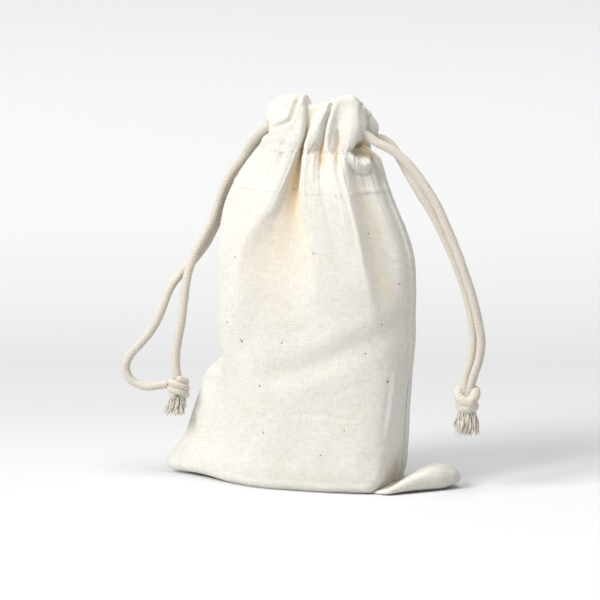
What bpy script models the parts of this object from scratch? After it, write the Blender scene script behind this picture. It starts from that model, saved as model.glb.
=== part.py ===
"""Cotton drawstring pouch with a herbal filling, standing on its flattened base.

Frame: origin at the bottom centre of the pouch, +X to the right, -Y to the front, +Z up, in metres.
The pouch is two panels sewn round three sides. Its top is a casing in front and one behind, and two
drawcords run through both, one pulled from each side. Each cord is a loop whose two legs leave the casing
together and are tied in a knot.
"""

import math

import bmesh
import bpy
from mathutils import Vector

# Driving dimensions
MM = 0.001
GAP = 0.3 * MM  # clearance between pieces that touch on the real pouch
WALL = 0.9 * MM  # cloth with its folds
CORD_D = 3.5 * MM
CORD_R = CORD_D / 2
HALF_SPAN = 63.0 * MM  # from the middle to the tip of each bottom corner
POUCH_HALF_DEPTH = 23.0 * MM
SECTION_POWER = 2.6  # superellipse power of the pouch's horizontal sections
SECTION_POINTS = 44

CASING_BOTTOM = 138.5 * MM
CASING_TOP = 163.0 * MM
CASING_LEFT = -17.0 * MM
CASING_RIGHT = 27.0 * MM
MOUTH_HALF = 2.3 * MM
CHANNEL_Y = 5.1 * MM  # middle of a cord channel, in front of or behind the mouth
LOWER_CORD_Z = 143.4 * MM  # the right cord
UPPER_CORD_Z = 149.8 * MM  # the left cord
CHANNEL_CLEARANCE = 0.4 * MM
PLEATS = 5
STATIONS_PER_PLEAT = 6

THREAD_R = 0.25 * MM
CHANNEL_STITCH_Z = 139.7 * MM
HEM_STITCH_Z = 124.0 * MM

FILLING_INSET = 2.4 * MM
FILLING_BOTTOM = 2.0 * MM
FILLING_TOP = 69.0 * MM

FAR_TURN_REACH = 3.4 * MM  # how far a cord's turn stands out of the far end of the casing, past its stub
FAR_TURN_STUB = 0.5 * MM
LEG_START = 1.5 * MM  # from the end of the casing to where the free legs begin
KNOT_HALF_HEIGHT = 5.2 * MM
LEFT_KNOT_R = 4.5 * MM
RIGHT_KNOT_R = 5.3 * MM
LEFT_TASSEL = (3.4 * MM, 5.6 * MM)  # radius and length
RIGHT_TASSEL = (5.0 * MM, 11.0 * MM)
LEFT_KNOT = Vector((-57.2, -4.2, 36.9)) * MM
RIGHT_KNOT = Vector((66.6, 0.0, 39.3)) * MM

# Side outline of the pouch: height, left edge and right edge in millimetres, and share of the half depth
OUTLINE = [
    (0.0, -33.0, 35.0, 0.87),
    (1.2, -35.2, 37.4, 0.96),
    (5.0, -36.6, 38.6, 1.00),
    (16.0, -36.8, 40.4, 1.00),
    (30.0, -37.0, 41.6, 1.00),
    (50.0, -38.0, 43.4, 1.00),
    (68.0, -40.6, 43.8, 1.00),
    (84.0, -40.6, 44.2, 1.00),
    (96.0, -40.0, 43.6, 0.96),
    (107.0, -38.6, 40.2, 0.87),
    (117.0, -36.2, 36.0, 0.77),
    (126.0, -31.8, 32.2, 0.67),
    (133.0, -27.2, 29.2, 0.58),
    (138.2, -22.8, 27.4, 0.52),
]

# The left bottom corner, which stands up: height, and how far left it reaches, in millimetres
UPRIGHT_CORNER = [
    (0.0, -50.0),
    (1.2, -56.5),
    (5.0, -61.2),
    (8.4, -60.0),
    (16.0, -55.0),
    (26.5, -51.2),
    (36.5, -47.8),
    (45.5, -43.8),
    (50.0, -39.8),
]
CORNER_INSET_GROWTH = 2.0  # a narrow point moves in further than its sides do

# The sewn edge that stands out of the sides in the plane of the seams, in millimetres, round the outline
SEAM_EDGE = [
    (-24.4, 138.2),
    (-28.9, 133.0),
    (-33.5, 126.0),
    (-37.9, 117.0),
    (-40.2, 107.0),
    (-42.0, 90.0),
    (-42.2, 70.0),
    (-41.0, 57.0),
    (-40.6, 51.0),
    (-45.2, 45.5),
    (-49.2, 36.5),
    (-52.3, 26.5),
    (-56.2, 15.8),
    (-61.6, 8.4),
    (-HALF_SPAN / MM, 4.4),
    (-60.0, 1.4),
    (-46.0, 0.6),
    (-30.0, 0.6),
    (30.0, 0.6),
    (40.0, 4.0),
    (41.8, 16.0),
    (43.2, 30.0),
    (45.0, 50.0),
    (45.6, 68.0),
    (45.8, 84.0),
    (45.2, 96.0),
    (41.8, 107.0),
    (37.6, 117.0),
    (33.8, 126.0),
    (30.8, 133.0),
    (29.0, 138.2),
]

# The right bottom corner, which lies flat: x, y of its front edge, y of its back edge and its height
FLAT_CORNER = [
    (30.0, -18.0, 18.0, 9.0),
    (38.0, -17.5, 17.5, 8.6),
    (46.0, -10.5, 15.0, 8.2),
    (54.0, -3.2, 12.0, 7.0),
    (60.0, 0.6, 9.0, 5.4),
    (HALF_SPAN / MM, 3.0, 6.5, 3.6),
]

# Routes of the four free legs, in millimetres, from the casing to the knot
LEFT_FRONT_LEG = [
    (-18.5, -5.1, 149.8),
    (-21.4, -4.4, 149.2),
    (-24.0, -2.4, 146.9),
    (-25.9, 0.0, 143.0),
    (-28.2, 1.8, 138.4),
    (-31.6, 3.4, 133.1),
    (-37.0, 4.8, 126.3),
    (-40.8, 5.0, 119.0),
    (-45.4, 3.8, 105.6),
    (-49.0, 2.4, 98.3),
    (-51.9, 1.0, 92.0),
    (-53.6, -0.4, 86.6),
    (-54.7, -1.8, 80.2),
    (-55.2, -3.0, 73.1),
    (-56.0, -3.8, 65.1),
    (-57.4, -4.2, 57.0),
    (-58.4, -4.2, 49.6),
    (-58.3, -4.2, 44.8),
    (-58.1, -4.2, 42.4),
]
LEFT_BACK_LEG = [
    (-18.5, 5.1, 149.8),
    (-21.6, 5.8, 149.0),
    (-24.8, 7.4, 145.6),
    (-28.0, 9.0, 139.6),
    (-32.4, 9.8, 131.7),
    (-37.2, 9.8, 123.2),
    (-41.6, 9.2, 113.6),
    (-45.1, 8.2, 103.7),
    (-48.8, 6.6, 95.9),
    (-53.5, 4.6, 89.2),
    (-58.5, 2.0, 83.3),
    (-61.8, -0.4, 78.3),
    (-63.9, -2.2, 72.3),
    (-66.1, -3.6, 65.9),
    (-69.4, -4.6, 59.7),
    (-73.8, -5.4, 54.3),
    (-78.1, -5.8, 49.2),
    (-79.8, -5.9, 44.2),
    (-78.3, -5.7, 39.8),
    (-74.1, -5.3, 37.2),
    (-69.5, -4.9, 36.6),
    (-65.6, -4.5, 37.4),
    (-62.1, -4.2, 37.8),
]
RIGHT_FRONT_LEG = [
    (28.5, -5.1, 143.4),
    (32.4, -4.4, 142.2),
    (36.8, -3.6, 139.6),
    (41.4, -3.0, 135.4),
    (48.2, -2.4, 127.0),
    (53.8, -2.0, 118.4),
    (57.9, -1.8, 109.6),
    (61.7, -1.6, 101.0),
    (65.3, -1.4, 91.4),
    (68.6, -1.0, 81.4),
    (71.0, -0.6, 71.6),
    (72.2, -0.2, 63.4),
    (71.6, 0.0, 55.4),
    (69.6, 0.0, 48.6),
    (68.7, 0.0, 44.8),
]
RIGHT_BACK_LEG = [
    (28.5, 5.1, 143.4),
    (31.8, 5.0, 141.4),
    (35.0, 4.6, 137.4),
    (39.0, 4.0, 131.0),
    (44.2, 3.4, 122.9),
    (49.7, 3.0, 114.9),
    (54.6, 2.6, 106.4),
    (58.6, 2.4, 98.3),
    (62.3, 2.2, 89.8),
    (65.3, 1.8, 80.4),
    (67.2, 1.2, 71.4),
    (67.9, 0.8, 63.2),
    (66.8, 0.4, 54.6),
    (65.0, 0.0, 48.2),
    (64.5, 0.0, 44.8),
]
LEG_POINT_SPACING = 2.2 * CORD_D
LEG_STUB = 0.3 * CORD_D  # straight stretch at each end of a leg, so that its ends face what they meet
DOWN = Vector((0.0, 0.0, -1.0))
RIGHTWARDS = Vector((1.0, 0.0, 0.0))


def clear_scene():
    for item in list(bpy.data.objects):
        bpy.data.objects.remove(item, do_unlink=True)


def material(name, color, roughness):
    made = bpy.data.materials.new(name)
    made.use_nodes = True
    shader = made.node_tree.nodes["Principled BSDF"]
    shader.inputs["Base Color"].default_value = (*color, 1.0)
    shader.inputs["Roughness"].default_value = roughness
    shader.inputs["Metallic"].default_value = 0.0
    return made


def add_object(name, data, look, parent=None):
    made = bpy.data.objects.new(name, data)
    bpy.context.scene.collection.objects.link(made)
    if look is not None:
        data.materials.append(look)
    if parent is not None:
        made.parent = parent
    return made


def add_pivot(name, place):
    """An empty on the axis of a joint. Its children keep world coordinates less its own place."""
    pivot = bpy.data.objects.new(name, None)
    pivot.location = place
    bpy.context.scene.collection.objects.link(pivot)
    return pivot


def mesh_from(name, verts, faces):
    """A mesh of the given points and faces, with all faces turned to point outwards."""
    mesh = bpy.data.meshes.new(name)
    mesh.from_pydata([tuple(v) for v in verts], [], faces)
    work = bmesh.new()
    work.from_mesh(mesh)
    bmesh.ops.recalc_face_normals(work, faces=work.faces)
    work.to_mesh(mesh)
    work.free()
    return mesh


def loft(name, rings):
    """A closed solid through rings of equal length, with a flat cap on the first and the last."""
    count = len(rings[0])
    verts = [point for ring in rings for point in ring]
    faces = [list(range(count)), list(range(len(verts) - count, len(verts)))]
    for row in range(len(rings) - 1):
        for column in range(count):
            a = row * count + column
            b = row * count + (column + 1) % count
            faces.append([a, b, b + count, a + count])
    return mesh_from(name, verts, faces)


def smooth_route(points, spacing):
    """Points every spacing or so along a smooth curve through the given ones."""
    ends = [2 * points[0] - points[1], *points, 2 * points[-1] - points[-2]]
    fine = []
    for i in range(1, len(ends) - 2):
        p0, p1, p2, p3 = ends[i - 1 : i + 3]
        for step in range(12):
            t = step / 12
            fine.append(
                0.5
                * (
                    2 * p1
                    + (p2 - p0) * t
                    + (2 * p0 - 5 * p1 + 4 * p2 - p3) * t**2
                    + (3 * p1 - p0 - 3 * p2 + p3) * t**3
                )
            )
    fine.append(points[-1])
    lengths = [0.0]
    for a, b in zip(fine, fine[1:]):
        lengths.append(lengths[-1] + (b - a).length)
    count = max(2, round(lengths[-1] / spacing))
    out = []
    for k in range(count + 1):
        goal = lengths[-1] * k / count
        j = min(len(fine) - 2, sum(1 for value in lengths[1:-1] if value < goal))
        part = (goal - lengths[j]) / (lengths[j + 1] - lengths[j])
        out.append(fine[j].lerp(fine[j + 1], part))
    return out


def leg_points(route, first_way, last_way):
    """Points along a leg, whose first and last stretches run straight in the given directions."""
    points = smooth_route([Vector(point) * MM for point in route], LEG_POINT_SPACING)
    first = points[0] + first_way * LEG_STUB
    last = points[-1] - last_way * LEG_STUB
    return [points[0], first, *points[1:-1], last, points[-1]]


def tube(name, points, radius, look, parent=None, sides=2):
    """A round tube through the points, with flat filled ends."""
    curve = bpy.data.curves.new(name, "CURVE")
    curve.dimensions = "3D"
    curve.bevel_depth = radius
    curve.bevel_resolution = sides
    curve.use_fill_caps = True
    spline = curve.splines.new("POLY")
    spline.points.add(len(points) - 1)
    shift = parent.location if parent is not None else Vector()
    for slot, point in zip(spline.points, points):
        slot.co = (*(point - shift), 1.0)
    return add_object(name, curve, look, parent)


def turned(name, place, profile, look, parent):
    """A solid of revolution about the vertical through place: radius and height pairs, top to bottom."""
    around = 20
    rings = []
    for radius, height in profile:
        ring = []
        for k in range(around):
            turn = 2 * math.pi * k / around
            ring.append(Vector((radius * math.cos(turn), radius * math.sin(turn), height)))
        rings.append([point + place - parent.location for point in ring])
    mesh = loft(name, rings)
    mesh.shade_smooth()
    return add_object(name, mesh, look, parent)


def outline_at(height):
    """Left edge, right edge and half depth of the pouch at a height, in metres."""
    rows = [(z * MM, left * MM, right * MM, share * POUCH_HALF_DEPTH) for z, left, right, share in OUTLINE]
    for low, high in zip(rows, rows[1:]):
        if height <= high[0]:
            part = max(0.0, (height - low[0]) / (high[0] - low[0]))
            return [low[i] + (high[i] - low[i]) * part for i in (1, 2, 3)]
    return list(rows[-1][1:])


def upright_corner_at(height):
    """How far left the upright corner reaches at a height, or None above it."""
    rows = [(z * MM, x * MM) for z, x in UPRIGHT_CORNER]
    for (low_z, low_x), (high_z, high_x) in zip(rows, rows[1:]):
        if height <= high_z:
            part = max(0.0, (height - low_z) / (high_z - low_z))
            return low_x + (high_x - low_x) * part
    return None


def tangent_angle(ratio):
    """Where a line from a point outside a superellipse's end touches it, as an angle from that end.

    The ratio is the superellipse's half length over the distance of that point from its middle.
    """
    reach = ratio ** (1 / (SECTION_POWER - 1))
    return math.acos(reach ** (SECTION_POWER / 2))


def section_point(height, turn, inset=0.0, corner=True):
    """The point of the pouch's section at this height, at an angle from +X, pulled in by inset.

    The upright corner draws the left end of the section out into a straight-sided point.
    """
    left, right, depth = outline_at(height)
    middle = (left + right) / 2
    half = (right - left) / 2 - inset
    tip = upright_corner_at(height) if corner else None
    from_left = abs(turn % (2 * math.pi) - math.pi)
    share = 0.0
    if tip is not None:
        spread = tangent_angle(half / (middle - tip))
        if from_left < spread:
            share = 1 - from_left / spread
            turn = math.pi - math.copysign(spread, math.sin(turn))
    c = math.cos(turn)
    s = math.sin(turn)
    x = middle + half * math.copysign(abs(c) ** (2 / SECTION_POWER), c)
    y = (depth - inset) * math.copysign(abs(s) ** (2 / SECTION_POWER), s)
    if share > 0:
        x += (tip + CORNER_INSET_GROWTH * inset - x) * share
        y *= 1 - share
    return Vector((x, y, height))


def section(height, inset=0.0, at=None, corner=True):
    """The whole section at this height as a ring, placed at another height if one is given."""
    ring = []
    for k in range(SECTION_POINTS):
        point = section_point(height, 2 * math.pi * (k + 0.5) / SECTION_POINTS, inset, corner)
        point.z = height if at is None else at
        ring.append(point)
    return ring


def add_cutter(name, mesh):
    cutter = add_object(name, mesh, None)
    cutter.hide_render = True
    cutter.display_type = "WIRE"
    return cutter


def add_boolean(target, cutter, operation):
    step = target.modifiers.new(cutter.name, "BOOLEAN")
    step.operation = operation
    step.solver = "EXACT"
    step.object = cutter


def box_mesh(name, low, high):
    ring = [(low[0], low[1]), (high[0], low[1]), (high[0], high[1]), (low[0], high[1])]
    rings = [[Vector((x, y, z)) for x, y in ring] for z in (low[2], high[2])]
    return loft(name, rings)


def seam_plate_mesh():
    """The plate in the plane of the seams that becomes the sewn edge and the upright left corner."""
    half = WALL + GAP / 2
    return loft(
        "seam_plate",
        [[Vector((x * MM, side * half, z * MM)) for x, z in SEAM_EDGE] for side in (-1, 1)],
    )


def flat_corner_mesh():
    """The right bottom corner, a low tongue with rounded edges that narrows to its tip."""
    around = 16
    rings = []
    for x, front, back, height in FLAT_CORNER:
        ring = []
        for k in range(around):
            turn = 2 * math.pi * (k + 0.5) / around
            y = (front + back) / 2 + (back - front) / 2 * math.cos(turn)
            lift = math.copysign(abs(math.sin(turn)) ** 0.6, math.sin(turn))
            z = 0.2 + height / 2 * (1 + lift)
            ring.append(Vector((x, y, z)) * MM)
        rings.append(ring)
    return loft("flat_corner", rings)


def section_heights():
    """Heights of all the sections that the cloth's shape is given at."""
    corner = [z for z, _ in UPRIGHT_CORNER]
    sides = [row[0] for row in OUTLINE]
    return [z * MM for z in sorted(set(corner + sides))]


def pouch_cutters():
    """What both panels are cut from or with: the sewn plate, the flat corner, the hollow and two halves."""
    heights = section_heights()
    hollow = [section(max(h, WALL), WALL) for h in heights[1:]]
    hollow.insert(0, section(0.0, WALL, WALL))
    hollow.append(section(heights[-1], WALL, heights[-1] + 5 * MM))
    far = 0.2
    return {
        "plate": add_cutter("cutter_seam_plate", seam_plate_mesh()),
        "corner": add_cutter("cutter_flat_corner", flat_corner_mesh()),
        "hollow": add_cutter("cutter_hollow", loft("hollow", hollow)),
        "front": add_cutter("cutter_front", box_mesh("front", (-far, -far, -far), (far, -GAP / 2, far))),
        "back": add_cutter("cutter_back", box_mesh("back", (-far, GAP / 2, -far), (far, far, far))),
    }


def add_panel(side, cutters, look):
    """The front or back half of the pouch: a cloth shell with its half of the base, edges and corners."""
    rings = [section(height) for height in section_heights()]
    panel = add_object(f"{side}_panel", loft(f"{side}_panel", rings), look)
    add_boolean(panel, cutters["plate"], "UNION")
    add_boolean(panel, cutters["corner"], "UNION")
    add_boolean(panel, cutters["hollow"], "DIFFERENCE")
    add_boolean(panel, cutters[side], "INTERSECT")
    return panel


def add_filling(look):
    """The filling, a block that the cloth rounds off, set in from the cloth on all sides."""
    bottom = FILLING_BOTTOM
    top = FILLING_TOP
    rings = [
        section(1.2 * MM, FILLING_INSET + 3 * MM, bottom, corner=False),
        section(5.0 * MM, FILLING_INSET, bottom + 4 * MM, corner=False),
        section(20.0 * MM, FILLING_INSET, corner=False),
        section(40.0 * MM, FILLING_INSET, corner=False),
        section(55.0 * MM, FILLING_INSET, corner=False),
        section(60.0 * MM, FILLING_INSET + 1.5 * MM, top - 6 * MM, corner=False),
        section(60.0 * MM, FILLING_INSET + 4 * MM, top - 2 * MM, corner=False),
        section(60.0 * MM, FILLING_INSET + 9 * MM, top, corner=False),
    ]
    filling = add_object("herb_filling", loft("herb_filling", rings), look)
    filling.data.shade_smooth()
    return filling


def pleat(x, amplitude):
    """How far the pleated cloth stands out at x."""
    part = (x - CASING_LEFT) / (CASING_RIGHT - CASING_LEFT)
    return amplitude * math.cos(2 * math.pi * PLEATS * part)


def casing_depth(x, height):
    """Distance of the casing's pleated outer face from the middle plane."""
    if height < 141 * MM:
        return 10.4 * MM + pleat(x, 0.7 * MM)
    if height < 152 * MM:
        return 9.7 * MM + pleat(x, 1.0 * MM)
    return 11.0 * MM + pleat(x, 1.5 * MM)


def add_casing(side, sign, look):
    """The folded and gathered top of a panel: a pleated band with a straight channel for both cords."""
    steps = PLEATS * STATIONS_PER_PLEAT
    rings = []
    for k in range(steps + 1):
        x = CASING_LEFT + (CASING_RIGHT - CASING_LEFT) * k / steps
        top = CASING_TOP - 1.4 * MM + pleat(x, 1.4 * MM)
        outer = [CASING_BOTTOM, 141.4 * MM, 151.6 * MM, 156.0 * MM, top]
        ring = [Vector((x, sign * casing_depth(x, z), z)) for z in outer]
        ring.append(Vector((x, sign * (MOUTH_HALF + 2.6 * MM), top)))
        ring.append(Vector((x, sign * MOUTH_HALF, 155.0 * MM)))
        ring.append(Vector((x, sign * MOUTH_HALF, CASING_BOTTOM)))
        rings.append(ring)
    casing = add_object(f"{side}_casing", loft(f"{side}_casing", rings), look)
    reach = CORD_R + CHANNEL_CLEARANCE
    near = sign * (CHANNEL_Y - reach)
    far = sign * (CHANNEL_Y + reach)
    low = (CASING_LEFT - 5 * MM, min(near, far), LOWER_CORD_Z - reach)
    high = (CASING_RIGHT + 5 * MM, max(near, far), UPPER_CORD_Z + reach)
    add_boolean(casing, add_cutter(f"cutter_{side}_channel", box_mesh("channel", low, high)), "DIFFERENCE")
    return casing


def add_channel_stitching(side, sign, look):
    """The row of stitches that closes the bottom of the cord channel, on the casing's outer face."""
    steps = PLEATS * STATIONS_PER_PLEAT
    points = []
    for k in range(steps + 1):
        x = CASING_LEFT + (CASING_RIGHT - CASING_LEFT) * k / steps
        y = sign * (casing_depth(x, CHANNEL_STITCH_Z) + GAP + THREAD_R)
        points.append(Vector((x, y, CHANNEL_STITCH_Z)))
    return tube(f"{side}_channel_stitching", points, THREAD_R, look, sides=1)


def add_hem_stitching(side, sign, look):
    """The row of stitches along the lower edge of the folded hem, on the panel's outer face."""
    steps = 26
    start = 0.16 * math.pi
    points = []
    for k in range(steps + 1):
        turn = sign * (start + (math.pi - 2 * start) * k / steps)
        points.append(section_point(HEM_STITCH_Z, turn, -(GAP + 2 * THREAD_R)))
    return tube(f"{side}_hem_stitching", points, THREAD_R, look, sides=1)


def add_side_seam(name, left_side, look):
    """The overlocked seam allowance inside a side, a flat strip against the cloth."""
    thick = 0.5 * MM
    half = 2.4 * MM
    rings = []
    for height in (8, 16, 30, 50, 68, 84, 96, 107, 117, 126, 133, 137):
        left, right, _ = outline_at(height * MM)
        if left_side:
            outer = left + WALL + GAP
            inner = outer + thick
        else:
            outer = right - WALL - GAP
            inner = outer - thick
        corners = [(outer, -half), (outer, half), (inner, half), (inner, -half)]
        rings.append([Vector((x, y, height * MM)) for x, y in corners])
    return add_object(name, loft(name, rings), look)


def add_bottom_seam(look):
    """The overlocked seam allowance across the inside of the base, under the filling."""
    low = (-31 * MM, -2.4 * MM, WALL + GAP)
    high = (33 * MM, 2.4 * MM, WALL + GAP + 0.5 * MM)
    return add_object("bottom_seam", box_mesh("bottom_seam", low, high), look)


def channel_run(sign, height, from_x, to_x):
    """A straight stretch of cord in a channel, with a point every few diameters."""
    steps = 6
    points = []
    for k in range(steps + 1):
        x = from_x + (to_x - from_x) * k / steps
        points.append(Vector((x, sign * CHANNEL_Y, height)))
    return points


def far_turn(end_x, outward, height):
    """The half turn of a cord outside the far end of the casing, from the front channel to the back one."""
    steps = 10
    stub = end_x + outward * FAR_TURN_STUB
    points = [Vector((end_x, -CHANNEL_Y, height))]
    for k in range(steps + 1):
        turn = math.pi * (k / steps - 0.5)
        x = stub + outward * FAR_TURN_REACH * math.cos(turn)
        points.append(Vector((x, CHANNEL_Y * math.sin(turn), height)))
    points.append(Vector((end_x, CHANNEL_Y, height)))
    return points


def knot_profile(radius):
    """Half outline of a knot, top to bottom, flat where the cord enters and leaves it."""
    tall = KNOT_HALF_HEIGHT
    return [
        (0.72 * radius, tall),
        (0.92 * radius, 0.66 * tall),
        (radius, 0.2 * tall),
        (radius, -0.2 * tall),
        (0.9 * radius, -0.66 * tall),
        (0.62 * radius, -tall),
    ]


def tassel_profile(radius, length):
    """Half outline of the frayed cord ends under a knot, top to bottom."""
    top = -KNOT_HALF_HEIGHT - GAP
    return [
        (0.6 * radius, top),
        (0.84 * radius, top - 0.3 * length),
        (radius, top - 0.8 * length),
        (0.9 * radius, top - length),
    ]


def add_cord(side, outward, height, casing_end, far_end, legs, back_leg_way, knot, knot_radius, tassel, look):
    """One drawcord: a run in each channel, the turn at the far end, two legs, a knot and its frayed ends."""
    leg_start = casing_end + outward * LEG_START
    run_end = leg_start - outward * GAP
    far_start = far_end + outward * GAP
    for label, sign in (("front", -1), ("back", 1)):
        name = f"{side}_cord_{label}_run"
        tube(name, channel_run(sign, height, far_start, run_end), CORD_R, look)
    tube(f"{side}_cord_far_turn", far_turn(far_end, -outward, height), CORD_R, look)
    pivot = add_pivot(f"{side}_cord_pivot", Vector((leg_start, 0.0, height)))
    for label, route, last_way in zip(("front", "back"), legs, (DOWN, back_leg_way)):
        points = leg_points(route, outward * RIGHTWARDS, last_way)
        tube(f"{side}_cord_{label}_leg", points, CORD_R, look, pivot)
    turned(f"{side}_cord_knot", knot, knot_profile(knot_radius), look, pivot)
    turned(f"{side}_cord_tassel", knot, tassel_profile(*tassel), look, pivot)


def build():
    clear_scene()
    cloth = material("cotton_cloth", (0.83, 0.79, 0.70), 0.9)
    cord = material("cotton_cord", (0.82, 0.78, 0.68), 0.85)
    thread = material("sewing_thread", (0.86, 0.82, 0.73), 0.8)
    herbs = material("dried_herbs", (0.30, 0.27, 0.14), 0.95)
    cutters = pouch_cutters()
    for side, sign in (("front", -1), ("back", 1)):
        add_panel(side, cutters, cloth)
        add_casing(side, sign, cloth)
        add_channel_stitching(side, sign, thread)
        add_hem_stitching(side, sign, thread)
    add_filling(herbs)
    add_side_seam("left_side_seam", True, cloth)
    add_side_seam("right_side_seam", False, cloth)
    add_bottom_seam(cloth)
    add_cord(
        "left",
        -1,
        UPPER_CORD_Z,
        CASING_LEFT,
        CASING_RIGHT,
        (LEFT_FRONT_LEG, LEFT_BACK_LEG),
        RIGHTWARDS,
        LEFT_KNOT,
        LEFT_KNOT_R,
        LEFT_TASSEL,
        cord,
    )
    add_cord(
        "right",
        1,
        LOWER_CORD_Z,
        CASING_RIGHT,
        CASING_LEFT,
        (RIGHT_FRONT_LEG, RIGHT_BACK_LEG),
        DOWN,
        RIGHT_KNOT,
        RIGHT_KNOT_R,
        RIGHT_TASSEL,
        cord,
    )


build()
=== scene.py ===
import math
import random

import bpy
import numpy as np
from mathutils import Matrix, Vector


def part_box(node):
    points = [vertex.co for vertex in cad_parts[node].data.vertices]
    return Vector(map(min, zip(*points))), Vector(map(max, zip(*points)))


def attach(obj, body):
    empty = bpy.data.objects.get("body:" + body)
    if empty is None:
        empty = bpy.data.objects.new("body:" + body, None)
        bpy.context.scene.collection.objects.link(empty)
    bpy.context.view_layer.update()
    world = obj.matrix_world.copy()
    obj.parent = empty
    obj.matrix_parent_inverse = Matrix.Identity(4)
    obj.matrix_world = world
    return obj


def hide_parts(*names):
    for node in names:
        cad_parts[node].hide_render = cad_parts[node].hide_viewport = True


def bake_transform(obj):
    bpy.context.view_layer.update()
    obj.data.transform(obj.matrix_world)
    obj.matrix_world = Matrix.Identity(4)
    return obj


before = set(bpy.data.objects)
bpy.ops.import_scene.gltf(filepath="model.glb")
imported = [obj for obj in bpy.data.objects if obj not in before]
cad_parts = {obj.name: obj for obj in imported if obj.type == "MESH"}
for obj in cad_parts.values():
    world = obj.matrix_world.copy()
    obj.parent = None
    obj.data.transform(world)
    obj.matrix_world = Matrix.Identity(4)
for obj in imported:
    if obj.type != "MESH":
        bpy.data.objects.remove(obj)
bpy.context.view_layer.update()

MM = 0.001

# Camera
AZIMUTH = 18.0
ELEVATION = 10.0
LENS = 400.0
SENSOR = 36.0
FRAME_WIDTH = 0.24696
AIM = Vector((-0.0051, -0.0017, 0.0760))

# Cords
CORD_R = 1.75
LEFT_EXIT = (-18.5, 149.8)
RIGHT_EXIT = (28.5, 143.4)
CHANNEL_Y = 5.1
BRAID_STRANDS = 8
BRAID_LAY = 1.55
BRAID_RELIEF = 0.30
AROUND = 48
ALONG = 0.3

# Cloth
CLOTH_WIDTH = 127.0
COLUMNS = 250
ROW_STEP = 0.6
CLOTH_THICK = 0.4
CASING_ROWS = 46
BACK_DROP = 3.2
PANEL_SEEDS = {"front": 11, "back": 47}
CASING_SEEDS = {"front": 23, "back": 61}
STITCH_Z = 139.7
HEM_Z = 124.0
HALF_DEPTH = 23.0
SECTION_POWER = 2.6
FOLDS_BELOW = 52.0
FOLDS_FULL = 76.0
FILL_MARGIN = 2.6
SEAM_HALF = 2.3

# Machine stitches
STITCH_LENGTH = 1.9
STITCH_PITCH = 2.5
STITCH_MARGIN = 8.0

# Side outline of the pouch: height, left edge, right edge and share of the half depth
OUTLINE = [
    (0, -33, 33.6, 0.90),
    (1.2, -35.2, 35.6, 0.97),
    (5, -36.6, 37.4, 1.00),
    (16, -36.8, 39, 1.00),
    (30, -37, 39.9, 1.00),
    (50, -38, 41.4, 1.00),
    (68, -40.6, 42.5, 1.00),
    (84, -40.6, 42.9, 1.00),
    (96, -40, 41.8, 0.96),
    (107, -38.6, 38.6, 0.87),
    (117, -36.2, 34.4, 0.77),
    (126, -31.8, 30.8, 0.67),
    (133, -27.2, 28.6, 0.58),
    (139.7, -21.8, 27.2, 0.50),
]

# The left bottom corner, which stands up: height, and how far left it reaches
UPRIGHT_CORNER = [
    (0, -54),
    (0.8, -60.6),
    (2.2, -63.2),
    (6.8, -62.4),
    (15.7, -56.4),
    (26.3, -52.4),
    (36.5, -48.8),
    (45.5, -44.6),
    (50, -38.6),
]

# The right bottom corner, which lies flat: x, y of its front edge, y of its back edge, and heights of its
# lowest and highest points
FLAT_CORNER = [
    (24, -15, 16, 0.1, 0.8),
    (30, -16.4, 16.5, 0.1, 1.2),
    (35, -18.8, 16.5, 0.1, 1.7),
    (38.5, -19.3, 16.2, 0.1, 2.8),
    (42, -17.2, 15.6, 0.1, 5.4),
    (45.5, -14.2, 14.8, 0.1, 7.6),
    (49, -11, 13.8, 0.1, 8.8),
    (52.5, -7.6, 12.6, 0.2, 9.3),
    (56, -4.2, 11.2, 0.5, 8.9),
    (58.6, -0.8, 9.4, 1.4, 7.9),
    (60.6, 1.8, 7.6, 2.6, 6.7),
    (61.6, 4, 5.4, 3.8, 5.4),
    (61.9, 4.7, 4.7, 4.6, 4.6),
]

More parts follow.
